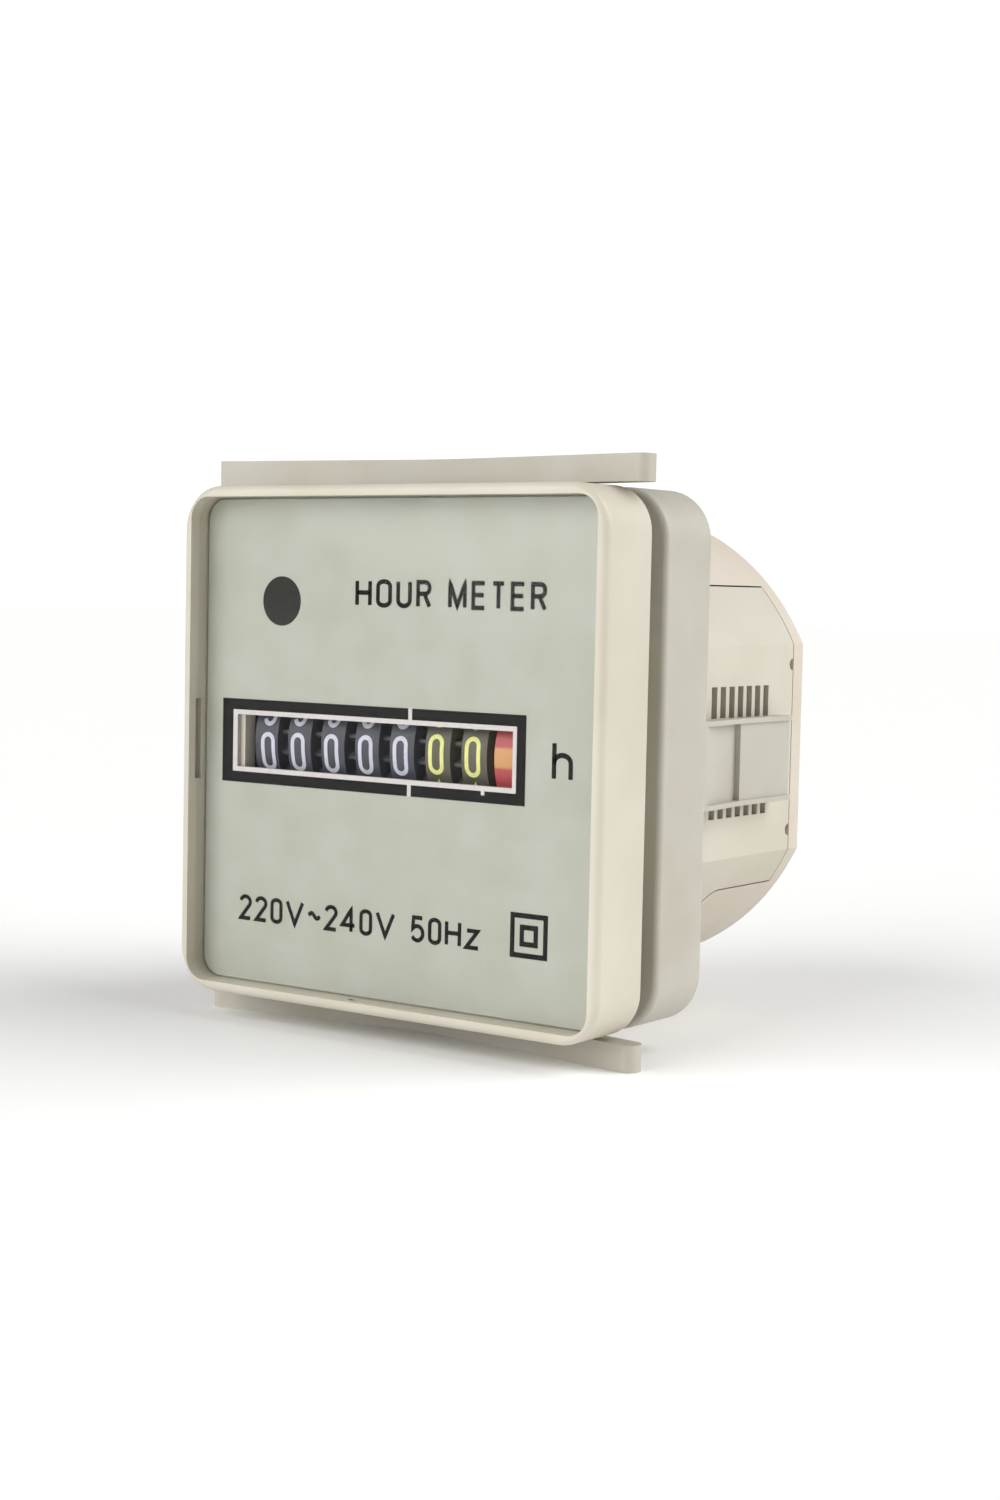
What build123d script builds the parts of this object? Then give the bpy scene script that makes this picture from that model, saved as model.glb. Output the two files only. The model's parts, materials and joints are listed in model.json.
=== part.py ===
"""Panel-mount hour meter: a square running-time counter held in a panel by a clip-on clamp frame.

Millimetres. +Z is up, the dial faces -Y, and the origin is the middle of the panel seat, which is
the rear face of the bezel.
"""
from build123d import *
from math import acos, cos, pi, radians, sin, sqrt, tan
import os

# ---------------------------------------------------------------- driving dimensions
# bezel and case
bezel_size = 52.0
bezel_depth = 7.5
bezel_corner = 4.5
bezel_edge_round = 0.8
lip_width = 1.1
recess_corner = 2.2
dial_recess = 2.5
front_wall = 1.5
body_round = 50.0
body_square = 45.0
body_depth = 36.9
case_wall = 1.6
# window lens and dial
lens_thickness = 1.3
lens_air = 0.1
lens_gap = 0.15
lens_tab_width = 8.0
lens_tab_reach = 0.6
lens_tab_thickness = 0.6
dial_thickness = 0.5
dial_gap = 0.2
window_left = -20.4
window_right = 14.3
window_height = 5.4
drum_opening_height = 9.2
drum_opening_margin = 0.6
# side vents and snap holes
vent_count = 7
vent_pitch = 1.77
vent_width = 1.1
vent_height = 13.4
vent_first_y = 18.4
snap_hole_radius = 0.6
snap_hole_z = 8.8
snap_hole_inset = 2.25
# rear cover
cover_plate = 2.0
skirt_front_y = 22.0
skirt_top_z = 17.0
skirt_bottom_z = 14.6
skirt_corner = 2.0
seam = 0.15
tongue_thickness = 0.85
tongue_length = 5.0
tongue_half_height = 10.5
pip_radius = 0.45
pip_height = 0.3
# clamp frame
frame_corner = 5.0
frame_depth = 8.4
frame_gap = 2.9
frame_clearance = 0.15
frame_wall = 1.6
frame_web = 2.0
frame_edge_round = 0.6
bar_height = 2.6
bar_depth = 2.5
bar_end_round = 1.1
bar_air = 0.25
bar_overhang = 0.5
bar_bend = 30.0
bar_middle_y = 2.0
bar_end_y = -2.2
bar_stub_width = 12.0
bar_stub_depth = 3.5
arm_height = 8.8
arm_middle_z = -0.8
arm_web = 1.0
arm_root_inset = 0.4
arm_neck_stand = 1.4
arm_neck_y = 20.4
pad_stand = 2.0
pad_end_y = 30.6
pad_thickness = 1.2
rim_stand = 0.3
arm_straight = 0.6
arm_curve_stand = 0.45
arm_curve_run = 4.2
tooth_inset = 1.6
arm_rim = 0.5
latch_tooth = 1.3
latch_tooth_count = 2
# digit drums
drum_count = 7
drum_pitch = 4.4
first_drum_x = -17.35
drum_radius = 7.4
drum_air = 0.5
drum_band = 3.0
drum_rim = 1.1
drum_web = 0.9
drum_hub_radius = 1.7
drum_bore_clearance = 0.05
ring_teeth = 20
transfer_teeth = 8
transfer_module = 0.62
ring_width = 0.85
transfer_width = 1.1
transfer_side_air = 0.15
carry_disc_radius = 4.7
carry_tooth_radius = 5.3
carry_tooth_spread = 9.0
carry_width = 0.4
transfer_angle = -45.0
indicator_band = 3.8
indicator_gap = 0.9
washer_inner = 1.0
washer_outer = 1.55
washer_thickness = 0.25
# movement plates and shafts
cheek_thickness = 0.6
left_cheek_gap = 0.5
cheek_half_height = 10.5
right_cheek_air = 0.3
cheek_tab_length = 3.4
cheek_tab_inner_z = 8.0
left_cheek_end_y = 13.5
plate_margin = 1.4
inner_plate_x = -3.4
inner_plate_thickness = 1.0
bridge_thickness = 0.8
bridge_gap = 0.7
bridge_rim_gap = 0.2
pillar_radius = 1.1
bridge_pillar_radius = 1.0
tie_bar_radius = 0.9
drum_shaft_radius = 0.75
transfer_shaft_radius = 0.5
gear_pin_radius = 0.4
pin_clearance = 0.05
# reduction gears
gear_module = 0.3
pressure_angle = 20.0
tooth_addendum = 0.85
tooth_dedendum = 1.25
tooth_fill = 0.80
gear_width = 0.9
pinion_teeth = 10
first_gear_teeth = 40
wheel_teeth = 50
output_teeth = 15
drive_teeth = 45
pinion_width = 1.1
hub_radius = 0.85
hub_end_air = 0.1
hub_pass_radius = 2.0
third_axis_turn = -50.0
second_axis_turn = 34.6
first_axis_turn = 120.7
rotor_axis_turn = -78.4
first_wheel_x = 6.0
second_wheel_x = 9.0
third_wheel_x = 12.0
front_pillars = [(14.5, 11.0), (12.0, -15.0)]
upper_rear_pillar_inset = 3.4
upper_rear_pillar_z = 9.5
lower_rear_pillar_inset = 5.9
plate_well_air = 0.4
upper_bridge_pillars = [(19.5, 7.0), (5.0, 9.2)]
lower_bridge_pillar_y = 12.4
tie_bar_y = 1.0
tie_bar_z = 9.4
# motor
motor_radius = 10.0
motor_length = 14.0
cup_sheet = 0.8
rotor_radius = 3.2
rotor_length = 9.6
rotor_shaft_radius = 0.5
rotor_shaft_end_air = 0.8
rotor_pinion_inset = 0.2
claw_inner = 3.6
claw_outer = 4.2
claw_count = 4
claw_degrees = 26.0
bobbin_inner = 4.4
bobbin_outer = 5.0
bobbin_flange_radius = 8.9
bobbin_flange = 0.6
winding_radius = 8.5
winding_air = 0.05
bush_radius = 1.3
bush_length = 1.6
coil_lug = 1.2
coil_lug_width = 5.0
coil_pin_radius = 0.3
coil_lug_stand = 1.4
bobbin_gap = 0.15
coil_pin_pitch = 3.0
motor_screw_radius = 0.5
motor_screw_circle = 6.6
# terminals and wiring
terminal_x = 5.7
terminal_rise = 4.3
well_width = 9.0
well_height = 7.5
well_depth = 7.8
well_wall = 1.0
wire_slot_width = 5.0
bracket_plate = 0.8
bracket_width = 6.8
bracket_height = 5.6
tail_width = 3.0
tail_overlap = 1.2
clamp_size = 5.6
clamp_thickness = 0.8
clamp_screw_radius = 1.5
clamp_head_radius = 2.6
clamp_head_height = 2.0
clamp_thread_length = 4.0
driver_slot = 0.8
capacitor_length = 10.5
capacitor_width = 9.0
capacitor_drop = 0.3
capacitor_left_x = -1.8
capacitor_edge = 0.4
lead_below_top = 1.0
lead_turn_out = 3.6
lead_bend_share = 0.45
lead_end_inset = 1.8
lead_radius = 0.25
# small screws
small_screw_radius = 0.7
small_head_radius = 1.3
small_head_height = 0.7
small_screw_length = 2.6

# ---------------------------------------------------------------- worked-out places
bezel_front_y = -bezel_depth
dial_front_y = bezel_front_y + dial_recess
dial_back_y = dial_front_y + dial_thickness
front_wall_y = dial_back_y + front_wall
lens_back_y = dial_front_y - lens_air
lens_front_y = lens_back_y - lens_thickness
lip_opening = bezel_size - 2 * lip_width
body_flat = body_square / 2
inner_flat = body_flat - case_wall
outside = body_square
all_across = (-outside, outside)
bar_half_length = bezel_size / 2 + bar_overhang
arm_root_x = bezel_size / 2 - arm_root_inset
arm_neck_x = body_flat + arm_neck_stand
pad_outer_x = body_flat + pad_stand
left_cheek_x = left_cheek_gap - inner_flat
inner_round = body_round / 2 - case_wall
bridge_x = inner_flat - bridge_gap - bridge_thickness
bridge_reach = sqrt(inner_round ** 2 - (bridge_x + bridge_thickness) ** 2) - bridge_rim_gap
cover_inner_y = body_depth - cover_plate
frame_front_y = frame_gap
frame_back_y = frame_gap + frame_depth
well_floor_y = body_depth - well_depth
well_bottom_z = -inner_flat
terminal_z = well_bottom_z + terminal_rise
well_top_z = well_bottom_z + well_height + well_wall
rear_pillars = [(cover_inner_y - upper_rear_pillar_inset, upper_rear_pillar_z),
                (cover_inner_y - lower_rear_pillar_inset, well_top_z + plate_well_air + plate_margin)]
plate_pillars = [front_pillars[0], *rear_pillars, front_pillars[1]]
bracket_front_y = well_floor_y
bracket_back_y = bracket_front_y + bracket_plate
clamp_front_y = bracket_back_y + seam / 3
clamp_back_y = clamp_front_y + clamp_thickness
head_front_y = clamp_back_y + seam / 3
drum_axis = (dial_back_y + drum_air + drum_radius, 0.0)


def away(start, distance, degrees):
    """The (y, z) point at a distance and direction from another one."""
    return (start[0] + distance * cos(radians(degrees)), start[1] + distance * sin(radians(degrees)))


def direction(start, end):
    """The direction in degrees from one (y, z) point to another."""
    gap = (end[0] - start[0], end[1] - start[1])
    turn = acos(gap[0] / sqrt(gap[0] ** 2 + gap[1] ** 2))
    return turn * 180 / pi if gap[1] >= 0 else -turn * 180 / pi


transfer_axis = away(drum_axis, transfer_module * (ring_teeth + transfer_teeth) / 2, transfer_angle)
wheel_distance = gear_module * (pinion_teeth + wheel_teeth) / 2
fourth_axis = away(drum_axis, gear_module * (output_teeth + drive_teeth) / 2, 0.0)
third_axis = away(fourth_axis, wheel_distance, third_axis_turn)
second_axis = away(third_axis, wheel_distance, second_axis_turn)
first_axis = away(second_axis, wheel_distance, first_axis_turn)
rotor_distance = gear_module * (pinion_teeth + first_gear_teeth) / 2
rotor_axis = away(first_axis, rotor_distance, rotor_axis_turn)
drum_x = [first_drum_x + drum_pitch * index for index in range(drum_count)]
indicator_x = drum_x[-1] + drum_band / 2 + indicator_gap
right_cheek_x = indicator_x + indicator_band + right_cheek_air
right_cheek_out_x = right_cheek_x + cheek_thickness
left_cheek_in_x = left_cheek_x + cheek_thickness
inner_plate_out_x = inner_plate_x + inner_plate_thickness
drive_gear_x = right_cheek_out_x + right_cheek_air
output_gear_x = bridge_x - 2 * right_cheek_air - gear_width
motor_left_x = inner_plate_x - motor_length
rotor_shaft_end = first_wheel_x + gear_width + rotor_shaft_end_air
bridge_pillars = upper_bridge_pillars + [(lower_bridge_pillar_y, plate_margin - bridge_reach)]
tie_bars = [(tie_bar_y, tie_bar_z), (tie_bar_y, -tie_bar_z)]
coil_pin_y = [rotor_axis[0] - coil_pin_pitch / 2, rotor_axis[0] + coil_pin_pitch / 2]
tail_front_y = coil_pin_y[1] - tail_overlap
coil_pin_x = inner_plate_x - cup_sheet - bobbin_gap - coil_lug / 2
coil_lug_z = rotor_axis[1] - motor_radius - coil_lug_stand
capacitor_top_z = terminal_z + lead_below_top
capacitor_front_y = tail_front_y - capacitor_width - 2 * seam


# ---------------------------------------------------------------- shape helpers
def export(name, *solids):
    """Write one node, which is one solid or a group of separate ones."""
    shape = solids[0] if len(solids) == 1 else Compound(children=list(solids))
    export_step(shape, f"parts/{name}.step")


def single(shape):
    """The one solid inside a shape."""
    return shape.solids()[0] if len(shape.solids()) == 1 else shape


def box(x, y, z):
    """A block given by its (low, high) pairs."""
    size = (x[1] - x[0], y[1] - y[0], z[1] - z[0])
    middle = ((x[0] + x[1]) / 2, (y[0] + y[1]) / 2, (z[0] + z[1]) / 2)
    return Pos(*middle) * Box(*size)


def front_plane(y):
    """A plane across the depth axis at y, whose extrusions run to the rear."""
    return Plane(origin=(0, y, 0), x_dir=(-1, 0, 0), z_dir=(0, 1, 0))


def side_plane(x):
    """A plane across the width axis at x, drawn in (y, z), whose extrusions run to +X."""
    return Plane(origin=(x, 0, 0), x_dir=(0, 1, 0), z_dir=(1, 0, 0))


def rounded_block(width, corner, y0, y1):
    """A square block with rounded corners between two depths."""
    return extrude(front_plane(y0) * RectangleRounded(width, width, corner), y1 - y0)


def body_section(offset):
    """The case body's outline, a circle cut by a square, moved in by an offset."""
    return Circle(body_round / 2 - offset) & Rectangle(body_square - 2 * offset, body_square - 2 * offset)


def body_block(offset, y0, y1):
    """The case body's outline as a block between two depths."""
    return extrude(front_plane(y0) * body_section(offset), y1 - y0)


def rod(axis, radius, x0, x1):
    """A round bar along X at a (y, z) axis."""
    return extrude(side_plane(x0) * (Pos(axis[0], axis[1]) * Circle(radius)), x1 - x0)


def tube(axis, outer, inner, x0, x1):
    """A round tube along X at a (y, z) axis."""
    return rod(axis, outer, x0, x1) - rod(axis, inner, x0 - 1, x1 + 1)


def depth_rod(x, z, radius, y0, y1):
    """A round bar along Y."""
    return extrude(front_plane(y0) * (Pos(-x, z) * Circle(radius)), y1 - y0)


def involute_angle(base, radius):
    """How far an involute has turned from its base circle to a radius."""
    if radius <= base:
        return 0.0
    pressure = acos(base / radius)
    return tan(pressure) - pressure


def gear_outline(teeth, module, phase):
    """A spur gear's outline with one tooth pointing at the phase angle in degrees."""
    pitch_radius = module * teeth / 2
    base = pitch_radius * cos(radians(pressure_angle))
    tip = pitch_radius + tooth_addendum * module
    root = pitch_radius - tooth_dedendum * module
    half_pitch = tooth_fill * pi / (2 * teeth) + involute_angle(base, pitch_radius)
    points = []
    for index in range(teeth):
        middle = radians(phase) + 2 * pi * index / teeth
        flank = []
        for radius in (root, pitch_radius, tip):
            flank.append((radius, half_pitch - involute_angle(base, radius)))
        for radius, half in flank:
            points.append((radius * cos(middle - half), radius * sin(middle - half)))
        for radius, half in reversed(flank):
            points.append((radius * cos(middle + half), radius * sin(middle + half)))
    return make_face(Polyline(*points, close=True))


def gear(axis, teeth, module, phase, x0, x1):
    """A spur gear along X."""
    outline = Pos(axis[0], axis[1]) * gear_outline(teeth, module, phase)
    return extrude(side_plane(x0) * outline, x1 - x0)


def mate_phase(axis, teeth, phase, mate_axis, mate_teeth):
    """The phase that puts a gear in mesh with another one."""
    line = direction(axis, mate_axis)
    return line + 180 + 180 / mate_teeth - (phase - line) * teeth / mate_teeth


# ---------------------------------------------------------------- gear phases at rest
rotor_phase = 0.0
first_phase = mate_phase(rotor_axis, pinion_teeth, rotor_phase, first_axis, first_gear_teeth)
second_phase = mate_phase(first_axis, pinion_teeth, first_phase, second_axis, wheel_teeth)
third_phase = mate_phase(second_axis, pinion_teeth, second_phase, third_axis, wheel_teeth)
fourth_phase = mate_phase(third_axis, pinion_teeth, third_phase, fourth_axis, wheel_teeth)
drive_phase = mate_phase(fourth_axis, output_teeth, fourth_phase, drum_axis, drive_teeth)
ring_phase = transfer_angle
transfer_phase = mate_phase(drum_axis, ring_teeth, ring_phase, transfer_axis, transfer_teeth)


# ---------------------------------------------------------------- case, lens and dial
def vent_cutter():
    """The vent slots and snap holes through both side walls."""
    cutters = []
    for index in range(vent_count):
        y = vent_first_y + vent_pitch * index
        half = vent_width / 2
        cutters.append(box(all_across, (y - half, y + half), (-vent_height / 2, vent_height / 2)))
    for z in (-snap_hole_z, snap_hole_z):
        hole = rod((body_depth - snap_hole_inset, z), snap_hole_radius, *all_across)
        cutters.append(hole)
    return cutters


def skirt_region(clearance):
    """The space above and below that the rear cover's skirts fill."""
    front = skirt_front_y - clearance
    above = box(all_across, (front, outside), (skirt_top_z - clearance, outside))
    below = box(all_across, (front, outside), (-outside, clearance - skirt_bottom_z))
    front_edges = [shape.edges().filter_by(Axis.X).group_by(Axis.Y)[0] for shape in (above, below)]
    above = fillet(front_edges[0].sort_by(Axis.Z)[0], skirt_corner)
    below = fillet(front_edges[1].sort_by(Axis.Z)[-1], skirt_corner)
    return above + below


def lens_tabs(clearance):
    """The lens's four snap tabs, or with a clearance the notches for them."""
    reach = lip_opening / 2 + lens_tab_reach + clearance
    half = lens_tab_width / 2 + clearance
    front = lens_front_y - clearance
    back = lens_front_y + lens_tab_thickness + clearance
    across = box((-reach, reach), (front, back), (-half, half))
    upright = box((-half, half), (front, back), (-reach, reach))
    return across + upright


def make_case():
    """Bezel and body in one moulding."""
    bezel = rounded_block(bezel_size, bezel_corner, bezel_front_y, 0)
    front_edges = bezel.faces().sort_by(Axis.Y)[0].edges()
    bezel = fillet(front_edges, bezel_edge_round)
    shell = bezel + body_block(0, -front_wall, body_depth - seam)
    recess = rounded_block(lip_opening, recess_corner, bezel_front_y - 1, dial_back_y)
    shell = shell - recess - lens_tabs(lens_gap)
    shell = shell - body_block(case_wall, front_wall_y, body_depth + 1)
    opening_x = (left_cheek_in_x, drive_gear_x + gear_width + drum_opening_margin)
    opening_z = (-drum_opening_height / 2, drum_opening_height / 2)
    shell = shell - box(opening_x, (dial_back_y - 1, front_wall_y + 1), opening_z)
    shell = shell - box(all_across, (cover_inner_y - seam, outside), all_across)
    shell = shell - skirt_region(seam)
    for cutter in vent_cutter():
        shell = shell - cutter
    for x, z in movement_screw_places():
        shell = shell - depth_rod(x, z, small_screw_radius + seam, dial_back_y - 1, front_wall_y + 1)
        head_y = (dial_back_y - 1, dial_back_y + small_head_height)
        shell = shell - depth_rod(x, z, small_head_radius + seam, *head_y)
    return single(shell)


def make_lens():
    """The clear window in front of the dial, with its four snap tabs."""
    width = lip_opening - 2 * lens_gap
    pane = rounded_block(width, recess_corner, lens_front_y, lens_back_y)
    tabs = lens_tabs(0) - rounded_block(width - 1, recess_corner, lens_front_y - 1, lens_back_y + 1)
    return single(pane + tabs)


def make_dial():
    """The dial plate with the window opening in front of the drums."""
    width = lip_opening - 2 * dial_gap
    plate = rounded_block(width, recess_corner, dial_front_y, dial_back_y)
    half = window_height / 2
    window = box((window_left, window_right), (dial_front_y - 1, dial_back_y + 1), (-half, half))
    return single(plate - window)


# ---------------------------------------------------------------- rear cover and terminals
def wire_slot(side):
    """The wire entry through the bottom skirt below a terminal."""
    x = side * terminal_x
    half = wire_slot_width / 2
    return box((x - half, x + half), (bracket_back_y, body_depth + 1), (-outside, well_bottom_z + 1))


def well_block(side, wall):
    """The space of one terminal well, or with a wall its housing."""
    x = side * terminal_x
    half = well_width / 2 + wall
    floor = well_floor_y - wall
    back = body_depth if wall else body_depth + 1
    top = well_top_z - well_wall + wall
    return box((x - half, x + half), (floor, back), (well_bottom_z - wall, top))


def make_cover():
    """The rear cover with its skirts, side tongues, snap pips and terminal wells."""
    cover = body_block(0, cover_inner_y, body_depth)
    skirts = body_block(0, skirt_front_y - 1, cover_inner_y) - body_block(case_wall, 0, body_depth)
    cover = cover + (skirts & skirt_region(0))
    for side in (-1, 1):
        inner = side * (inner_flat - frame_clearance)
        ends = sorted((inner, inner - side * tongue_thickness))
        tongue_y = (cover_inner_y - tongue_length, cover_inner_y)
        cover = cover + box(ends, tongue_y, (-tongue_half_height, tongue_half_height))
        for z in (-snap_hole_z, snap_hole_z):
            pip_ends = sorted((inner - side * tongue_thickness, inner + side * pip_height))
            cover = cover + rod((body_depth - snap_hole_inset, z), pip_radius, *pip_ends)
        housing = well_block(side, well_wall) & body_block(0, 0, body_depth)
        cover = cover + housing
    for side in (-1, 1):
        tail_half = tail_width / 2 + seam
        tail_x = (side * terminal_x - tail_half, side * terminal_x + tail_half)
        tail_z = (terminal_z - bracket_plate / 2 - seam, terminal_z + bracket_plate / 2 + seam)
        screw_x = side * terminal_x
        cover = cover - well_block(side, 0) - wire_slot(side)
        cover = cover - box(tail_x, (skirt_front_y, well_floor_y + 1), tail_z)
        thread_y = (clamp_back_y - clamp_thread_length - 1, well_floor_y + 1)
        cover = cover - depth_rod(screw_x, terminal_z, clamp_screw_radius + seam, *thread_y)
    return single(cover)


def make_bracket(side):
    """A brass terminal bracket: a plate on the well's floor and a tail through it."""
    x = side * terminal_x
    half = bracket_width / 2
    z = (terminal_z - bracket_height / 2, terminal_z + bracket_height / 2)
    plate = box((x - half, x + half), (bracket_front_y, bracket_back_y), z)
    tail_z = (terminal_z - bracket_plate / 2, terminal_z + bracket_plate / 2)
    tail = box((x - tail_width / 2, x + tail_width / 2), (tail_front_y, bracket_back_y), tail_z)
    hole_radius = clamp_screw_radius + drum_bore_clearance
    thread_end = clamp_back_y - clamp_thread_length - 1
    return single(plate + tail - depth_rod(x, terminal_z, hole_radius, thread_end, bracket_back_y + 1))


def make_clamp(side):
    """The square washer that the terminal screw presses on the wire."""
    x = side * terminal_x
    half = clamp_size / 2
    z = (terminal_z - half, terminal_z + half)
    plate = box((x - half, x + half), (clamp_front_y, clamp_back_y), z)
    hole_radius = clamp_screw_radius + drum_bore_clearance
    return single(plate - depth_rod(x, terminal_z, hole_radius, clamp_front_y - 1, clamp_back_y + 1))


def make_terminal_screw(side):
    """A slotted cheese-head screw."""
    x = side * terminal_x
    head_back_y = head_front_y + clamp_head_height
    shank = depth_rod(x, terminal_z, clamp_screw_radius, clamp_back_y - clamp_thread_length, head_front_y)
    head = depth_rod(x, terminal_z, clamp_head_radius, head_front_y, head_back_y)
    slot_z = (terminal_z - driver_slot / 2, terminal_z + driver_slot / 2)
    slot_y = (head_back_y - clamp_head_height / 2, head_back_y + 1)
    slot = box((x - clamp_head_radius - 1, x + clamp_head_radius + 1), slot_y, slot_z)
    return single(shank + head - slot)


# ---------------------------------------------------------------- clamp frame
def make_bar():
    """One bowed spring bar along the top of the clamp frame, with its stub."""
    low = bezel_size / 2 + bar_air
    front = [(-bar_half_length, bar_end_y), (0, bar_middle_y), (bar_half_length, bar_end_y)]
    back = [(x, y + bar_depth) for x, y in reversed(front)]
    outline = make_face(Polyline(*front, *back, close=True))
    bends = outline.vertices().filter_by(lambda vertex: abs(vertex.X) < bar_depth)
    outline = fillet(bends, bar_bend)
    bar = extrude(Plane.XY.offset(low) * outline, bar_height)
    upright_edges = bar.edges().filter_by(Axis.Z)
    end_edges = upright_edges.filter_by(lambda edge: abs(edge.center().X) > bar_half_length - 1)
    bar = fillet(end_edges, bar_end_round)
    stub_x = (-bar_stub_width / 2, bar_stub_width / 2)
    stub_y = (frame_front_y, frame_front_y + bar_stub_depth)
    stub = box(stub_x, stub_y, (bezel_size / 2 - 1, low + bar_height - bar_air))
    return bar + stub


def make_arm():
    """The +X latch arm: a curved web between two thin rims, ending in a toothed pad."""
    half = arm_height / 2
    root_y = frame_back_y - 1
    outer = [(arm_root_x, root_y), (arm_root_x, frame_back_y + arm_straight)]
    crest = (arm_neck_x + arm_curve_stand, arm_neck_y - arm_curve_run)
    curve = Spline(outer[1], crest, (arm_neck_x, arm_neck_y))
    web = thicken_inward(outer, curve)
    pad_inner = pad_outer_x - pad_thickness
    rim_x = pad_outer_x + rim_stand
    pad = box((pad_inner, pad_outer_x), (arm_neck_y, pad_end_y), (-half, half))
    rims = []
    for low, high in ((-half, arm_rim - half), (half - arm_rim, half)):
        profile = Polyline(
            (arm_root_x, root_y), (arm_root_x, frame_back_y + 2 * arm_straight), (rim_x, arm_neck_y),
            (rim_x, pad_end_y), (pad_inner, pad_end_y), (pad_inner, arm_neck_y),
            (arm_root_x - arm_web - rim_stand, root_y), close=True)
        rims.append(extrude(Plane.XY.offset(low) * make_face(profile), high - low))
    arm = extrude(Plane.XY.offset(-half) * web, arm_height) + pad + rims[0] + rims[1]
    arm = arm + latch_teeth(pad_inner, half)
    return Pos(0, 0, arm_middle_z) * arm


def thicken_inward(straight, curve):
    """A web of even thickness inside an outline that is a straight run and a curve."""
    shift = Pos(-arm_web, 0)
    outer = Line(*straight) + curve
    start = (straight[0][0] - arm_web, straight[0][1])
    joint = (straight[1][0] - arm_web, straight[1][1])
    end = curve @ 1
    inner = Line(start, joint) + shift * curve
    closing = Line(straight[0], start) + Line((end.X, end.Y), (end.X - arm_web, end.Y))
    return make_face(outer.edges() + inner.edges() + closing.edges())


def latch_teeth(pad_inner, half):
    """The pad's wedge teeth, whose tips stop just clear of the case's side."""
    tip = body_flat + frame_clearance
    teeth = Part()
    for index in range(latch_tooth_count):
        y = pad_end_y - tooth_inset - vent_pitch * 2 * index
        profile = Polyline((pad_inner, y), (tip, y), (pad_inner, y - latch_tooth), close=True)
        inner_half = half - arm_rim
        tooth = extrude(Plane.XY.offset(-inner_half) * make_face(profile), 2 * inner_half)
        teeth = teeth + tooth
    return teeth


def make_clamp_frame():
    """The clip-on frame: a square ring with two bowed bars and two latch arms."""
    ring = rounded_block(bezel_size, frame_corner, frame_front_y, frame_back_y)
    outer_edges = ring.edges().filter_by(lambda edge: abs(edge.center().Y - frame_front_y) < 0.01)
    ring = fillet(outer_edges, frame_edge_round)
    rear_edges = ring.edges().filter_by(lambda edge: abs(edge.center().Y - frame_back_y) < 0.01)
    ring = fillet(rear_edges, frame_edge_round)
    pocket = rounded_block(bezel_size - 2 * frame_wall, frame_corner - frame_wall, frame_front_y + frame_web,
                           frame_back_y + 1)
    kept = body_block(-frame_clearance - frame_wall, frame_front_y, frame_back_y)
    ring = ring - (pocket - kept)
    bars = make_bar()
    ring = ring + bars + bars.mirror(Plane.XY)
    arm = make_arm()
    ring = ring + arm + arm.mirror(Plane.YZ)
    ring = ring - body_block(-frame_clearance, frame_front_y - 10, frame_back_y + 1)
    return single(ring)


# ---------------------------------------------------------------- counter drums
def make_drum(index):
    """A digit drum: number band, web, hub, ring gear to its right and carry disc to its left."""
    x = drum_x[index]
    band = (x - drum_band / 2, x + drum_band / 2)
    bore = drum_shaft_radius + drum_bore_clearance
    drum = tube(drum_axis, drum_radius, drum_radius - drum_rim, *band)
    web = (band[1] - drum_web, band[1])
    drum = drum + rod(drum_axis, drum_radius, *web)
    hub_left = band[0]
    hub_right = band[1]
    if index < drum_count - 1:
        hub_right = band[1] + ring_width
        drum = drum + gear(drum_axis, ring_teeth, transfer_module, ring_phase, band[1], hub_right)
    if index > 0:
        hub_left = band[0] - carry_width
        drum = drum + make_carry(band[0])
    drum = drum + rod(drum_axis, drum_hub_radius, hub_left, hub_right)
    return single(drum - rod(drum_axis, bore, hub_left - 1, hub_right + 1))


def make_carry(x):
    """The carry disc on a drum's left side with its two carry teeth."""
    disc = rod(drum_axis, carry_disc_radius, x - carry_width, x + drum_web)
    for spread in (-1, 1):
        middle = away(drum_axis, carry_disc_radius, transfer_angle + 180 + spread * carry_tooth_spread)
        tooth = rod(middle, carry_tooth_radius - carry_disc_radius, x - carry_width, x + drum_web)
        disc = disc + tooth
    return disc


def make_transfer_pinion(index):
    """A transfer pinion between two drums."""
    left = drum_x[index] + drum_band / 2 + transfer_side_air
    bore = transfer_shaft_radius + drum_bore_clearance
    pinion = gear(transfer_axis, transfer_teeth, transfer_module, transfer_phase, left, left + transfer_width)
    return single(pinion - rod(transfer_axis, bore, left - 1, left + transfer_width + 1))


def make_indicator():
    """The run-indicator drum at the right-hand end of the counter."""
    right = indicator_x + indicator_band
    drum = tube(drum_axis, drum_radius, drum_radius - drum_rim, indicator_x, right)
    drum = drum + rod(drum_axis, drum_radius, right - drum_web, right)
    drum = drum + rod(drum_axis, 2 * drum_hub_radius, indicator_x, right)
    return single(drum - rod(drum_axis, drum_hub_radius, indicator_x - 1, right + 1))


def make_drive_gear():
    """The gear that turns the indicator drum through its hub, which runs in the right cheek."""
    right = drive_gear_x + gear_width
    wheel = gear(drum_axis, drive_teeth, gear_module, drive_phase, drive_gear_x, right)
    hub = rod(drum_axis, drum_hub_radius, indicator_x, right)
    bore = rod(drum_axis, drum_shaft_radius + drum_bore_clearance, indicator_x - 1, right + 1)
    return single(wheel + hub - bore)


def make_clutch_washer():
    """The spring washer through which the indicator drum drags the lowest digit drum."""
    left = drum_x[-1] + drum_band / 2 + drum_bore_clearance
    right = indicator_x - drum_bore_clearance
    flat = tube(drum_axis, washer_outer, washer_inner, left, left + washer_thickness)
    crest = tube(drum_axis, washer_outer, washer_inner, right - washer_thickness, right)
    wall = tube(drum_axis, washer_inner + washer_thickness, washer_inner, left, right)
    return single(flat + crest + wall)


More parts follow.
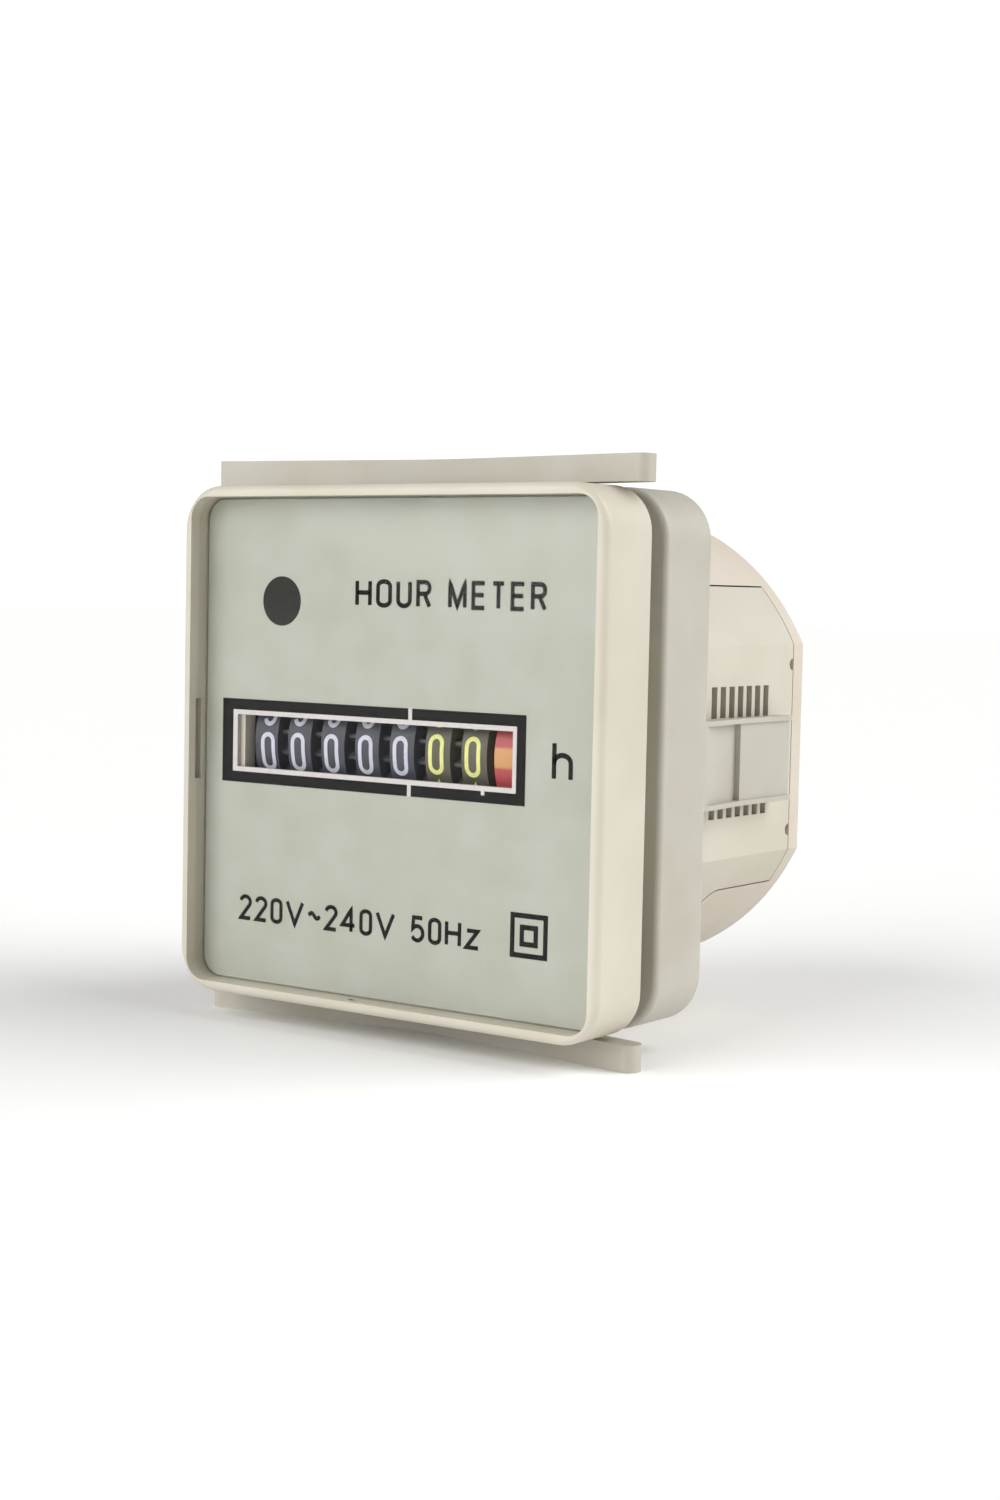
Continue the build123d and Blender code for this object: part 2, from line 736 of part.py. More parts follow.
# ---------------------------------------------------------------- movement plates
def hull_plate(places, margin, x0, x1):
    """A plate whose outline is stretched round circles at the given places."""
    edges = []
    for place in places:
        edges += (Pos(place[0], place[1]) * Circle(margin)).edges()
    return extrude(side_plane(x0) * make_hull(edges), x1 - x0)


def drill(plate, places, radius):
    """Round holes along X through a plate."""
    for place in places:
        plate = plate - rod(place, radius, *all_across)
    return plate


def cheek_tabs(x0, x1):
    """The two bent tabs at a cheek's front, drilled for the movement screws."""
    tabs = Part()
    for z in sorted((cheek_tab_inner_z, -cheek_half_height)):
        high = z + cheek_half_height - cheek_tab_inner_z
        tabs = tabs + box((x0, x1), (front_wall_y, front_wall_y + cheek_thickness), (z, high))
    return tabs


def movement_screw_places():
    """The (x, z) places of the four screws that hold the movement to the case."""
    middle_z = (cheek_half_height + cheek_tab_inner_z) / 2
    reach = cheek_thickness + (cheek_tab_length - cheek_thickness) / 2
    columns = (left_cheek_x + reach, right_cheek_out_x - reach)
    return [(x, z) for x in columns for z in (-middle_z, middle_z)]


def drill_tabs(cheek):
    """The screw holes in a cheek's tabs."""
    for x, z in movement_screw_places():
        cheek = cheek - depth_rod(x, z, small_screw_radius, front_wall_y - 1, front_wall_y + 1)
    return cheek


def make_left_cheek():
    """The plate at the left end of the counter."""
    y = (front_wall_y, left_cheek_end_y)
    cheek = box((left_cheek_x, left_cheek_in_x), y, (-cheek_half_height, cheek_half_height))
    cheek = cheek + cheek_tabs(left_cheek_x, left_cheek_x + cheek_tab_length)
    cheek = drill(cheek, [drum_axis], drum_shaft_radius)
    cheek = drill(cheek, [transfer_axis], transfer_shaft_radius)
    cheek = drill(cheek, tie_bars, tie_bar_radius)
    return single(drill_tabs(cheek))


def make_right_cheek():
    """The plate between the counter and the last gears."""
    corner_y = front_wall_y + 2 * plate_margin
    corners = [(corner_y, side * (cheek_half_height - 1.5 * plate_margin)) for side in (-1, 1)]
    cheek = hull_plate(corners + plate_pillars, plate_margin, right_cheek_x, right_cheek_out_x)
    front = (front_wall_y, corner_y)
    cheek = cheek + box((right_cheek_x, right_cheek_out_x), front, (-cheek_half_height, cheek_half_height))
    cheek = cheek + cheek_tabs(right_cheek_out_x - cheek_tab_length, right_cheek_out_x)
    cheek = drill(cheek, [drum_axis], drum_hub_radius + drum_bore_clearance)
    cheek = drill(cheek, [transfer_axis], transfer_shaft_radius)
    cheek = drill(cheek, tie_bars, tie_bar_radius)
    cheek = drill(cheek, plate_pillars + bridge_pillars, pillar_radius / 2)
    cheek = drill(cheek, [first_axis, second_axis, fourth_axis], gear_pin_radius)
    cheek = drill(cheek, [third_axis], hub_pass_radius)
    return single(drill_tabs(cheek))


def make_inner_plate():
    """The gear plate that carries the motor."""
    plate = hull_plate(plate_pillars, plate_margin, inner_plate_x, inner_plate_out_x)
    pinion_space = transfer_module * (transfer_teeth + 4) / 2
    plate = plate - rod(transfer_axis, pinion_space, *all_across)
    plate = drill(plate, plate_pillars, pillar_radius / 2)
    plate = drill(plate, [first_axis, second_axis, third_axis], gear_pin_radius)
    plate = drill(plate, [rotor_axis], bush_radius)
    return single(drill(plate, motor_screw_places(), motor_screw_radius))


def make_bridge():
    """The outer gear bridge."""
    places = [third_axis, fourth_axis] + bridge_pillars
    bridge = hull_plate(places, plate_margin, bridge_x, bridge_x + bridge_thickness)
    bridge = drill(bridge, [third_axis, fourth_axis], gear_pin_radius)
    return single(drill(bridge, bridge_pillars, bridge_pillar_radius / 2))


def riveted_pillar(axis, radius, x0, x1, plate0, plate1):
    """A spacer between two plates with a thinner riveted end in each."""
    return single(rod(axis, radius, x0, x1) + rod(axis, radius / 2, x0 - plate0, x1 + plate1))


def make_plate_pillars():
    """The spacers between the gear plate and the right cheek, all but their riveted ends."""
    pillars = []
    for place in plate_pillars:
        pillars.append(riveted_pillar(place, pillar_radius, inner_plate_out_x, right_cheek_x,
                                      inner_plate_thickness, cheek_thickness))
    return pillars


def make_bridge_pillars():
    """The spacers between the right cheek and the bridge."""
    pillars = []
    for place in bridge_pillars:
        spacer = rod(place, bridge_pillar_radius, right_cheek_out_x, bridge_x)
        rivet = rod(place, bridge_pillar_radius / 2, right_cheek_x, bridge_x + bridge_thickness)
        pillars.append(single(spacer + rivet))
    return pillars


def make_gear_pins():
    """The fixed steel pins that the reduction gears run on."""
    spans = [
        (first_axis, inner_plate_x, right_cheek_out_x),
        (second_axis, inner_plate_x, right_cheek_out_x),
        (third_axis, inner_plate_x, bridge_x + bridge_thickness),
        (fourth_axis, right_cheek_x, bridge_x + bridge_thickness),
    ]
    return [rod(axis, gear_pin_radius, low, high) for axis, low, high in spans]


def make_reduction_gear(axis, teeth, phase, wheel_x, output, output_x, ends):
    """A wheel and a pinion moulded on one hub."""
    wheel = gear(axis, teeth, gear_module, phase, wheel_x, wheel_x + gear_width)
    pinion = gear(axis, output, gear_module, phase, output_x, output_x + pinion_width)
    hub = rod(axis, hub_radius, ends[0] + hub_end_air, ends[1] - hub_end_air)
    bore = rod(axis, gear_pin_radius + pin_clearance, ends[0] - 1, ends[1] + 1)
    return single(wheel + pinion + hub - bore)


def make_reduction_gears():
    """The four mouldings between the rotor pinion and the drive gear."""
    inside = (inner_plate_out_x, right_cheek_x)
    through = (inner_plate_out_x, bridge_x)
    outer = (right_cheek_out_x, bridge_x)
    layout = [
        (first_axis, first_gear_teeth, first_phase, first_wheel_x, pinion_teeth, second_wheel_x, inside),
        (second_axis, wheel_teeth, second_phase, second_wheel_x, pinion_teeth, third_wheel_x, inside),
        (third_axis, wheel_teeth, third_phase, third_wheel_x, pinion_teeth, output_gear_x, through),
        (fourth_axis, wheel_teeth, fourth_phase, output_gear_x, output_teeth, drive_gear_x, outer),
    ]
    return [make_reduction_gear(*entry) for entry in layout]


# ---------------------------------------------------------------- motor
def motor_screw_places():
    """The two screws through the gear plate into the motor."""
    return [away(rotor_axis, motor_screw_circle, degrees) for degrees in (10, 190)]


def claw_ring(x0, x1, start):
    """The pole claws of one stator cup."""
    ring = tube(rotor_axis, claw_outer, claw_inner, x0, x1)
    claws = Part()
    for index in range(claw_count):
        centre = start + index * 360 / claw_count
        reach = 2 * claw_outer
        left = away((0, 0), reach, centre - claw_degrees / 2)
        right = away((0, 0), reach, centre + claw_degrees / 2)
        wedge = make_face(Polyline((0, 0), left, right, close=True))
        placed = side_plane(x0) * (Pos(rotor_axis[0], rotor_axis[1]) * wedge)
        claws = claws + (ring & extrude(placed, x1 - x0))
    return claws


def make_cup(outer_x, side, start):
    """One half of the stator: a drawn cup with claws bent in from its end plate."""
    half_length = motor_length / 2
    ends = sorted((outer_x, outer_x - side * half_length))
    hollow_ends = sorted((outer_x - side * cup_sheet, outer_x - side * (half_length + 1)))
    cup = rod(rotor_axis, motor_radius, *ends) - rod(rotor_axis, motor_radius - cup_sheet, *hollow_ends)
    claw_ends = sorted((outer_x - side * cup_sheet / 2, outer_x - side * (motor_length - 2 * cup_sheet)))
    cup = cup + claw_ring(*claw_ends, start)
    return cup - rod(rotor_axis, bush_radius, outer_x - 2 * cup_sheet, outer_x + 2 * cup_sheet)


def make_left_cup():
    """The stator cup away from the gears."""
    return single(make_cup(motor_left_x, -1, 45.0))


def make_right_cup():
    """The stator cup on the gear plate, notched for the coil's lug."""
    cup = make_cup(inner_plate_x, 1, 0.0)
    half = coil_lug_width / 2 + seam
    middle = sum(coil_pin_y) / 2
    reach = coil_lug / 2 + seam
    notch = box((coil_pin_x - reach, coil_pin_x + reach), (middle - half, middle + half),
                (coil_lug_z - 1, rotor_axis[1] - claw_outer - 1))
    for place in motor_screw_places():
        cup = cup - rod(place, motor_screw_radius, inner_plate_x - 2 * cup_sheet, inner_plate_x + 1)
    return single(cup - notch)


def bobbin_span():
    """The bobbin's two ends along X."""
    inset = cup_sheet + bobbin_gap
    return (motor_left_x + inset, inner_plate_x - inset)


def make_bobbin():
    """The coil bobbin with the lug that carries its pins."""
    left, right = bobbin_span()
    bobbin = rod(rotor_axis, bobbin_outer, left, right)
    bobbin = bobbin + rod(rotor_axis, bobbin_flange_radius, left, left + bobbin_flange)
    bobbin = bobbin + rod(rotor_axis, bobbin_flange_radius, right - bobbin_flange, right)
    bobbin = bobbin - rod(rotor_axis, bobbin_inner, left - 1, right + 1)
    middle = sum(coil_pin_y) / 2
    half = coil_lug_width / 2
    lug_top_z = rotor_axis[1] - bobbin_outer - bobbin_flange
    lug = box((right - coil_lug, right), (middle - half, middle + half), (coil_lug_z, lug_top_z))
    return single(bobbin + lug)


def make_winding():
    """The wound coil on the bobbin."""
    left, right = bobbin_span()
    ends = (left + bobbin_flange + winding_air, right - coil_lug - winding_air)
    return single(tube(rotor_axis, winding_radius, bobbin_outer + winding_air, *ends))


def make_rotor_magnet():
    """The ring magnet of the rotor."""
    middle = motor_left_x + motor_length / 2
    ends = (middle - rotor_length / 2, middle + rotor_length / 2)
    return single(tube(rotor_axis, rotor_radius, rotor_shaft_radius, *ends))


def make_rotor_pinion():
    """The motor's pinion, pressed on the rotor shaft."""
    ends = (first_wheel_x - rotor_pinion_inset / 2, rotor_shaft_end - rotor_pinion_inset)
    pinion = gear(rotor_axis, pinion_teeth, gear_module, rotor_phase, *ends)
    return single(pinion - rod(rotor_axis, rotor_shaft_radius, ends[0] - 1, ends[1] + 1))


def make_bushes():
    """The two bearing bushes of the rotor shaft."""
    bore = rotor_shaft_radius + pin_clearance
    left = (motor_left_x, motor_left_x + bush_length)
    right = (inner_plate_out_x - bush_length - 0.2, inner_plate_out_x)
    return [single(tube(rotor_axis, bush_radius, bore, *ends)) for ends in (left, right)]


def make_coil_pins():
    """The two pins that bring out the coil."""
    tail_top = terminal_z + bracket_plate / 2
    x = bobbin_span()[1] - coil_lug / 2
    lows = (terminal_z - bracket_plate / 2, tail_top)
    pins = []
    for y, low in zip(coil_pin_y, lows):
        plane = Plane(origin=(x, y, low))
        pins.append(extrude(plane * Circle(coil_pin_radius), coil_lug_z - low))
    return pins


# ---------------------------------------------------------------- wiring and screws
def capacitor_span():
    """The capacitor's two ends along X."""
    return (capacitor_left_x, capacitor_left_x + capacitor_length)


def make_capacitor():
    """The boxed capacitor in series with the coil."""
    y = (capacitor_front_y, capacitor_front_y + capacitor_width)
    z = (capacitor_drop - inner_flat, capacitor_top_z)
    body = box(capacitor_span(), y, z)
    return single(fillet(body.edges(), capacitor_edge))


def make_leads():
    """The capacitor's two leads: a straight one to the coil pin and a bent one to the right bracket."""
    left, right = capacitor_span()
    pin_side = bobbin_span()[1] - coil_lug / 2 + coil_pin_radius
    straight = rod((coil_pin_y[0], terminal_z), lead_radius, pin_side, left)
    exit_y = capacitor_front_y + capacitor_width / 2
    corner_x = right + lead_turn_out
    end_y = tail_front_y + lead_end_inset
    end_x = terminal_x + tail_width / 2
    points = [(right, exit_y, terminal_z), (corner_x, exit_y, terminal_z), (corner_x, end_y, terminal_z),
              (end_x, end_y, terminal_z)]
    bend = lead_bend_share * (corner_x - right)
    path = FilletPolyline(*points, radius=bend)
    bent = sweep(Plane(origin=points[0], z_dir=(1, 0, 0)) * Circle(lead_radius), path)
    return [straight, single(bent)]


def make_movement_screws():
    """The four screws that hold the movement to the case's front wall."""
    screws = []
    head_y = dial_back_y + 0.1
    for x, z in movement_screw_places():
        head = depth_rod(x, z, small_head_radius, head_y, dial_back_y + small_head_height)
        shank = depth_rod(x, z, small_screw_radius, head_y, dial_back_y + small_screw_length)
        screws.append(single(head + shank))
    return screws


def make_motor_screws():
    """The two screws that hold the motor to the gear plate."""
    screws = []
    for place in motor_screw_places():
        head = rod(place, 2 * motor_screw_radius, inner_plate_out_x, inner_plate_out_x + motor_screw_radius)
        shank = rod(place, motor_screw_radius, inner_plate_x - cup_sheet, inner_plate_out_x)
        screws.append(single(head + shank))
    return screws


# ---------------------------------------------------------------- build and write every node
os.makedirs("parts", exist_ok=True)
export("case", make_case())
export("window_lens", make_lens())
export("dial_plate", make_dial())
export("rear_cover", make_cover())
export("clamp_frame", make_clamp_frame())
for place, side in (("left", -1), ("right", 1)):
    export(f"terminal_bracket_{place}", make_bracket(side))
    export(f"terminal_clamp_{place}", make_clamp(side))
    export(f"terminal_screw_{place}", make_terminal_screw(side))
for number in range(drum_count):
    export(f"digit_drum_{number + 1}", make_drum(number))
for number in range(drum_count - 1):
    export(f"transfer_pinion_{number + 1}", make_transfer_pinion(number))
export("run_indicator_drum", make_indicator())
export("drive_gear", make_drive_gear())
export("clutch_washer", make_clutch_washer())
export("drum_shaft", rod(drum_axis, drum_shaft_radius, left_cheek_x, drive_gear_x + gear_width))
export("pinion_shaft", rod(transfer_axis, transfer_shaft_radius, left_cheek_x, right_cheek_out_x))
export("left_cheek", make_left_cheek())
export("right_cheek", make_right_cheek())
export("gear_plate", make_inner_plate())
export("gear_bridge", make_bridge())
export("tie_bars", *[rod(place, tie_bar_radius, left_cheek_x, right_cheek_out_x) for place in tie_bars])
export("plate_pillars", *make_plate_pillars())
export("bridge_pillars", *make_bridge_pillars())
export("gear_pins", *make_gear_pins())
reduction_gears = make_reduction_gears()
for number, moulding in enumerate(reduction_gears):
    export(f"reduction_gear_{number + 1}", moulding)
export("stator_cup_left", make_left_cup())
export("stator_cup_right", make_right_cup())
export("coil_bobbin", make_bobbin())
export("coil_winding", make_winding())
export("rotor_magnet", make_rotor_magnet())
export("rotor_shaft", rod(rotor_axis, rotor_shaft_radius, motor_left_x, rotor_shaft_end))
export("rotor_pinion", make_rotor_pinion())
export("rotor_bushes", *make_bushes())
export("coil_pins", *make_coil_pins())
export("dropper_capacitor", make_capacitor())
export("capacitor_leads", *make_leads())
export("movement_screws", *make_movement_screws())
export("motor_screws", *make_motor_screws())
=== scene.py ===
"""Looks for the panel hour meter: camera, light, finishes, the printed dial and the drum digits.

Lengths are named in millimetres and turned to metres where a mesh, a node or a light takes them.
"""
import json
from math import cos, hypot, pi, radians, sin

import bmesh
import bpy
from mathutils import Matrix, Vector

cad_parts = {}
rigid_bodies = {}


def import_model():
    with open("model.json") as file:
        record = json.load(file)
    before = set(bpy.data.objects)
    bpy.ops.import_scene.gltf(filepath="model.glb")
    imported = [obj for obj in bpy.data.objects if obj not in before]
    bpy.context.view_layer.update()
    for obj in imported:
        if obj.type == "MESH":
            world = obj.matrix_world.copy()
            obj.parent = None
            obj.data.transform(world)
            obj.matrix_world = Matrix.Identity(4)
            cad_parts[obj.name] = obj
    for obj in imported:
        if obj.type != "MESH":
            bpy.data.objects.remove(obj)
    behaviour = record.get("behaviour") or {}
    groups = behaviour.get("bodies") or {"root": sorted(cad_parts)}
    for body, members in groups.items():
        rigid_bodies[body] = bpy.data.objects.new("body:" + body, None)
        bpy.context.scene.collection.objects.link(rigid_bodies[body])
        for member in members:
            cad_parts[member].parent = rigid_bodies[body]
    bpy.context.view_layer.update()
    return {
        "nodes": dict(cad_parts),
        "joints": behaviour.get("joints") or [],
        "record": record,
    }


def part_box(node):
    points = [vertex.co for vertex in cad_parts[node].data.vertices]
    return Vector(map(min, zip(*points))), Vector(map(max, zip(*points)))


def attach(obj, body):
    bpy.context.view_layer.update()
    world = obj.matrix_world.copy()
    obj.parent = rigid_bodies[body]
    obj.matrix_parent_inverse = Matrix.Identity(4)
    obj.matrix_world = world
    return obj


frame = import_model()
mm = 0.001


# ---------------------------------------------------------------- places read from the frame
def corners_mm(node):
    """A node's lowest and highest corners in millimetres."""
    low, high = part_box(node)
    return low / mm, high / mm


dial_low, dial_high = corners_mm("dial_plate")
drum_count = sum(name.startswith("digit_drum_") for name in frame["nodes"])
drum_hinge = next(j for j in frame["joints"] if j["name"] == "drum_1_spin")
drum_axis_y, drum_axis_z = drum_hinge["pos_m"][1] / mm, drum_hinge["pos_m"][2] / mm
last_low, last_high = corners_mm(f"digit_drum_{drum_count}")
drum_radius = drum_axis_y - last_low.y
drum_centre_x = []
for number in range(1, drum_count + 1):
    low, high = corners_mm(f"digit_drum_{number}")
    drum_centre_x.append(low.x + (last_high.x - last_low.x) / 2)
floor_z = min(corners_mm(name)[0].z for name in ("clamp_frame", "case"))


# ---------------------------------------------------------------- camera, floor and light
camera_place = (138.221, -181.549, 15.804)
camera_yaw = 35.387
camera_pitch = -3.946
camera_roll = 1.208
camera_focal = 54.97
camera_sensor = 36.0


def make_camera():
    """The camera stands to the right of the dial, level with the top of the bezel."""
    yaw, pitch, roll = radians(camera_yaw), radians(camera_pitch), radians(camera_roll)
    ahead = Vector((-sin(yaw) * cos(pitch), cos(yaw) * cos(pitch), sin(pitch)))
    right = Vector((cos(yaw), sin(yaw), 0))
    up = right.cross(ahead)
    side = right * cos(roll) + up * sin(roll)
    top = up * cos(roll) - right * sin(roll)
    turn = Matrix((side, top, -ahead)).transposed().to_4x4()
    data = bpy.data.cameras.new("camera")
    data.lens, data.sensor_width = camera_focal, camera_sensor
    data.clip_start, data.clip_end = 10 * mm, 20000 * mm
    camera = bpy.data.objects.new("camera", data)
    camera.matrix_world = Matrix.Translation(Vector(camera_place) * mm) @ turn
    bpy.context.scene.collection.objects.link(camera)
    bpy.context.scene.camera = camera


def add_lamp(name, towards, softness, strength):
    """A soft far lamp in a direction from the meter, as wide in degrees as its softness."""
    data = bpy.data.lights.new(name, "SUN")
    data.energy, data.angle = strength, radians(softness)
    lamp = bpy.data.objects.new(name, data)
    lamp.rotation_euler = Vector(towards).to_track_quat("Z", "Y").to_euler()
    bpy.context.scene.collection.objects.link(lamp)


# ---------------------------------------------------------------- node and colour helpers
def linear(hex_colour):
    """An sRGB hex colour as the linear values that shaders take."""
    values = [int(hex_colour[i:i + 2], 16) / 255 for i in (1, 3, 5)]
    return [v / 12.92 if v <= 0.04045 else ((v + 0.055) / 1.055) ** 2.4 for v in values] + [1.0]


def add_node(tree, kind, inputs=None, **settings):
    """Add a node, set its properties, and fill its inputs with values or with links from sockets."""
    node = tree.nodes.new(kind)
    for name, value in settings.items():
        setattr(node, name, value)
    for key, value in (inputs or {}).items():
        if isinstance(value, bpy.types.NodeSocket):
            tree.links.new(value, node.inputs[key])
        else:
            node.inputs[key].default_value = value
    return node


def new_material(name):
    """A material with an empty tree, that tree, and its output node."""
    material = bpy.data.materials.new(name)
    material.use_nodes = True
    tree = material.node_tree
    tree.nodes.clear()
    return material, tree, add_node(tree, "ShaderNodeOutputMaterial")


# Where in a noise's spread the second colour of moulded plastic begins and is full.
patch_starts, patch_full = 0.35, 0.68
# How much coarser a metal's drawn marks are along the way they run.
mark_stretch = 14


def per_mm(size):
    """The texture scale that gives features of a size in millimetres."""
    return 1 / (size * mm)


def moulded_plastic(name, colour, tint, patch, grain, relief, roughness, ior=1.53, soft=0.0):
    """Injection-moulded plastic: broad uneven colour, and a fine eroded texture that breaks the gloss."""
    material, tree, out = new_material(name)
    place = add_node(tree, "ShaderNodeTexCoord").outputs["Object"]
    broad = add_node(tree, "ShaderNodeTexNoise", {"Vector": place, "Scale": per_mm(patch), "Detail": 3.0})
    blend = add_node(tree, "ShaderNodeMapRange", {
        "Value": broad.outputs["Fac"], "From Min": patch_starts, "From Max": patch_full})
    shade = add_node(tree, "ShaderNodeMix", {0: blend.outputs["Result"]}, data_type="RGBA")
    shade.inputs[6].default_value, shade.inputs[7].default_value = linear(colour), linear(tint)
    fine = add_node(tree, "ShaderNodeTexNoise", {"Vector": place, "Scale": per_mm(grain), "Detail": 2.0})
    gloss = add_node(tree, "ShaderNodeMapRange", {
        "Value": fine.outputs["Fac"], "To Min": roughness - 0.07, "To Max": roughness + 0.09})
    bump = add_node(tree, "ShaderNodeBump", {
        "Height": fine.outputs["Fac"], "Distance": relief * mm, "Strength": 0.6})
    shader = add_node(tree, "ShaderNodeBsdfPrincipled", {
        "Base Color": shade.outputs[2], "Roughness": gloss.outputs["Result"],
        "Normal": bump.outputs["Normal"], "IOR": ior})
    if soft:
        shader.inputs["Subsurface Weight"].default_value = soft
        shader.inputs["Subsurface Radius"].default_value = (1.0, 0.8, 0.6)
        shader.inputs["Subsurface Scale"].default_value = 0.6 * mm
    tree.links.new(shader.outputs["BSDF"], out.inputs["Surface"])
    return material


def worked_metal(name, colour, tint, roughness, mark, along, relief):
    """Bare or plated metal: drawn or rolled marks run one way, and the finish varies a little along them."""
    material, tree, out = new_material(name)
    place = add_node(tree, "ShaderNodeTexCoord").outputs["Object"]
    scale = [per_mm(mark) if axis != along else per_mm(mark * mark_stretch) for axis in "XYZ"]
    stretched = add_node(tree, "ShaderNodeMapping", {"Vector": place, "Scale": scale})
    marks = add_node(tree, "ShaderNodeTexNoise", {
        "Vector": stretched.outputs["Vector"], "Scale": 1.0, "Detail": 3.0})
    shade = add_node(tree, "ShaderNodeMix", {0: marks.outputs["Fac"]}, data_type="RGBA")
    shade.inputs[6].default_value, shade.inputs[7].default_value = linear(colour), linear(tint)
    gloss = add_node(tree, "ShaderNodeMapRange", {
        "Value": marks.outputs["Fac"], "To Min": roughness - 0.08, "To Max": roughness + 0.1})
    bump = add_node(tree, "ShaderNodeBump", {
        "Height": marks.outputs["Fac"], "Distance": relief * mm, "Strength": 0.5})
    shader = add_node(tree, "ShaderNodeBsdfPrincipled", {
        "Base Color": shade.outputs[2], "Roughness": gloss.outputs["Result"],
        "Normal": bump.outputs["Normal"], "Metallic": 1.0})
    tree.links.new(shader.outputs["BSDF"], out.inputs["Surface"])
    return material


def clear_acrylic(name, tint, straight_on, grazing):
    """Polished acrylic sheet: nearly all light goes straight through, and the faces mirror at a glance."""
    material, tree, out = new_material(name)
    place = add_node(tree, "ShaderNodeTexCoord").outputs["Object"]
    haze = add_node(tree, "ShaderNodeTexNoise", {"Vector": place, "Scale": per_mm(3.0), "Detail": 2.0})
    gloss = add_node(tree, "ShaderNodeMapRange", {
        "Value": haze.outputs["Fac"], "To Min": 0.03, "To Max": 0.09})
    through = add_node(tree, "ShaderNodeBsdfTransparent", {"Color": linear(tint)})
    shine = add_node(tree, "ShaderNodeBsdfGlossy", {
        "Color": linear("#FFFFFF"), "Roughness": gloss.outputs["Result"]})
    # Both faces mirror alike, little straight on and strongly at a grazing angle.
    edge = add_node(tree, "ShaderNodeLayerWeight", {"Blend": 0.5})
    rise = add_node(tree, "ShaderNodeMath", {0: edge.outputs["Facing"], 1: 5.0}, operation="POWER")
    mirror = add_node(tree, "ShaderNodeMapRange", {
        "Value": rise.outputs[0], "To Min": straight_on, "To Max": grazing})
    both = add_node(tree, "ShaderNodeMixShader", {
        0: mirror.outputs["Result"], 1: through.outputs["BSDF"], 2: shine.outputs["BSDF"]})
    tree.links.new(both.outputs["Shader"], out.inputs["Surface"])
    return material


def banded_wheel(name, bright, pale, bands, roughness):
    """Moulded wheel with painted bands across its rim, so that its slow turn can be seen."""
    material, tree, out = new_material(name)
    place = add_node(tree, "ShaderNodeTexCoord").outputs["Object"]
    centred = add_node(tree, "ShaderNodeMapping", {
        "Vector": place, "Location": (0, -drum_axis_y * mm, -drum_axis_z * mm)})
    split = add_node(tree, "ShaderNodeSeparateXYZ", {0: centred.outputs["Vector"]})
    angle = add_node(tree, "ShaderNodeMath", {0: split.outputs["Z"], 1: split.outputs["Y"]},
                     operation="ARCTAN2")
    turns = add_node(tree, "ShaderNodeMath", {0: angle.outputs[0], 1: float(bands)}, operation="MULTIPLY")
    wave = add_node(tree, "ShaderNodeMath", {0: turns.outputs[0]}, operation="COSINE")
    cut = add_node(tree, "ShaderNodeMapRange", {"Value": wave.outputs[0], "From Min": -0.25, "From Max": 0.25})
    shade = add_node(tree, "ShaderNodeMix", {0: cut.outputs["Result"]}, data_type="RGBA")
    shade.inputs[6].default_value, shade.inputs[7].default_value = linear(bright), linear(pale)
    fine = add_node(tree, "ShaderNodeTexNoise", {"Vector": place, "Scale": per_mm(0.2)})
    gloss = add_node(tree, "ShaderNodeMapRange", {
        "Value": fine.outputs["Fac"], "To Min": roughness - 0.05, "To Max": roughness + 0.05})
    shader = add_node(tree, "ShaderNodeBsdfPrincipled", {
        "Base Color": shade.outputs[2], "Roughness": gloss.outputs["Result"], "IOR": 1.53})
    tree.links.new(shader.outputs["BSDF"], out.inputs["Surface"])
    return material


def wound_wire(name, colour, shadow, pitch):
    """Enamelled copper wire in close turns along the coil, glossy on each turn and dark between them."""
    material, tree, out = new_material(name)
    place = add_node(tree, "ShaderNodeTexCoord").outputs["Object"]
    turns = add_node(tree, "ShaderNodeTexWave", {
        "Vector": place, "Scale": per_mm(pitch) / (20 / pi), "Distortion": 0.3},
        wave_type="BANDS", bands_direction="X", wave_profile="SIN")
    shade = add_node(tree, "ShaderNodeMix", {0: turns.outputs["Fac"]}, data_type="RGBA")
    shade.inputs[6].default_value, shade.inputs[7].default_value = linear(shadow), linear(colour)
    bump = add_node(tree, "ShaderNodeBump", {
        "Height": turns.outputs["Fac"], "Distance": pitch / 2 * mm, "Strength": 0.8})
    shader = add_node(tree, "ShaderNodeBsdfPrincipled", {
        "Base Color": shade.outputs[2], "Normal": bump.outputs["Normal"], "Roughness": 0.3, "Metallic": 0.8,
        "Coat Weight": 0.5})
    tree.links.new(shader.outputs["BSDF"], out.inputs["Surface"])
    return material


def screen_ink(name, colour, thin, roughness):
    """Screen-printed ink: an even film that lies a little thin in places and is duller than the plate."""
    material, tree, out = new_material(name)
    place = add_node(tree, "ShaderNodeTexCoord").outputs["Object"]
    film = add_node(tree, "ShaderNodeTexNoise", {"Vector": place, "Scale": per_mm(0.35), "Detail": 3.0})
    blend = add_node(tree, "ShaderNodeMapRange",
                     {"Value": film.outputs["Fac"], "From Min": 0.5, "From Max": 0.8})
    shade = add_node(tree, "ShaderNodeMix", {0: blend.outputs["Result"]}, data_type="RGBA")
    shade.inputs[6].default_value, shade.inputs[7].default_value = linear(colour), linear(thin)
    gloss = add_node(tree, "ShaderNodeMapRange", {
        "Value": film.outputs["Fac"], "To Min": roughness - 0.06, "To Max": roughness + 0.06})
    shader = add_node(tree, "ShaderNodeBsdfPrincipled", {
        "Base Color": shade.outputs[2], "Roughness": gloss.outputs["Result"], "Specular IOR Level": 0.12})
    tree.links.new(shader.outputs["BSDF"], out.inputs["Surface"])
    return material


# ---------------------------------------------------------------- finishes
# Cream ABS from an eroded mould: soft sheen, faintly yellower in patches with age.
cream_abs = moulded_plastic("cream_abs_moulded", "#CBC5B7", "#C3BCAB", 14, 0.22, 0.012, 0.42, soft=0.05)
